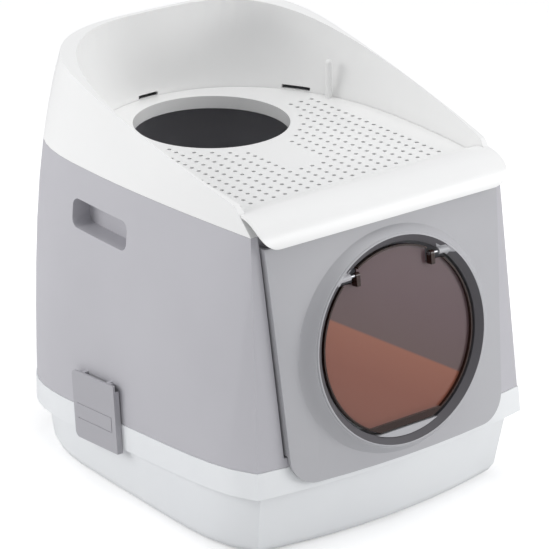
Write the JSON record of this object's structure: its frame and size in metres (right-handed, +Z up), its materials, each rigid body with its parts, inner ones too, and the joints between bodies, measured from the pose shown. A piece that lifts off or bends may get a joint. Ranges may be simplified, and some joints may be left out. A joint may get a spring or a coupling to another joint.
{
  "type": "top entry litter box",
  "caption": "Tall litter box with a deep pan, a hood with a swing-up front panel and round flap, side clips, and a hinged perforated top deck inside a curved splash guard",
  "frame": {"origin": "centre of the bounding box at the base, on the surface the box stands on", "axes": "X across the width, +Y from the front panel to the rear, Z up"},
  "size_m": [0.4276, 0.5189, 0.4867],
  "materials": {
    "white_shell": "satin white polypropylene",
    "pan_shell": "satin white polypropylene",
    "grey_shell": "fine matte grey polypropylene",
    "light_ring": "satin grey plastic",
    "flap_tint": "translucent brown plastic",
    "pin_steel": "plain steel"
  },
  "bodies": {
    "shell": {"base_pan": "pan_shell", "hood": "grey_shell", "panel_pins": "pin_steel", "lid_pins": "pin_steel", "clip_pin_left": "pin_steel", "clip_pin_right": "pin_steel"},
    "top_cover": {"guard": "white_shell", "deck": "white_shell", "peg": "white_shell"},
    "front_door": {"front_panel": "grey_shell", "port_ring": "light_ring", "flap_sill": "grey_shell", "flap_pins": "pin_steel"},
    "flap": {"door_flap": "flap_tint", "flap_lugs": "flap_tint"},
    "left_clip": {"clip_left": "grey_shell"},
    "right_clip": {"clip_right": "grey_shell"}
  },
  "joints": [
    {"name": "cover_hinge", "type": "hinge", "parent": "shell", "child": "top_cover", "pos_m": [0, 0.2492, 0.37], "axis": [-1, 0, 0], "range_deg": [0, 80]},
    {"name": "panel_hinge", "type": "hinge", "parent": "shell", "child": "front_door", "pos_m": [0, -0.20023, 0.35], "axis": [-1, 0, 0], "range_deg": [0, 35]},
    {"name": "flap_hinge", "type": "hinge", "parent": "front_door", "child": "flap", "pos_m": [0, -0.2274, 0.30785], "axis": [-1, 0, 0], "range_deg": [-60, 60]},
    {"name": "left_clip_hinge", "type": "hinge", "parent": "shell", "child": "left_clip", "pos_m": [-0.20803, 0.038, 0.13554], "axis": [0, 0.9968, -0.0802], "range_deg": [0, 70]},
    {"name": "right_clip_hinge", "type": "hinge", "parent": "shell", "child": "right_clip", "pos_m": [0.20803, 0.038, 0.13554], "axis": [0, -0.9968, 0.0802], "range_deg": [0, 70]}
  ]
}
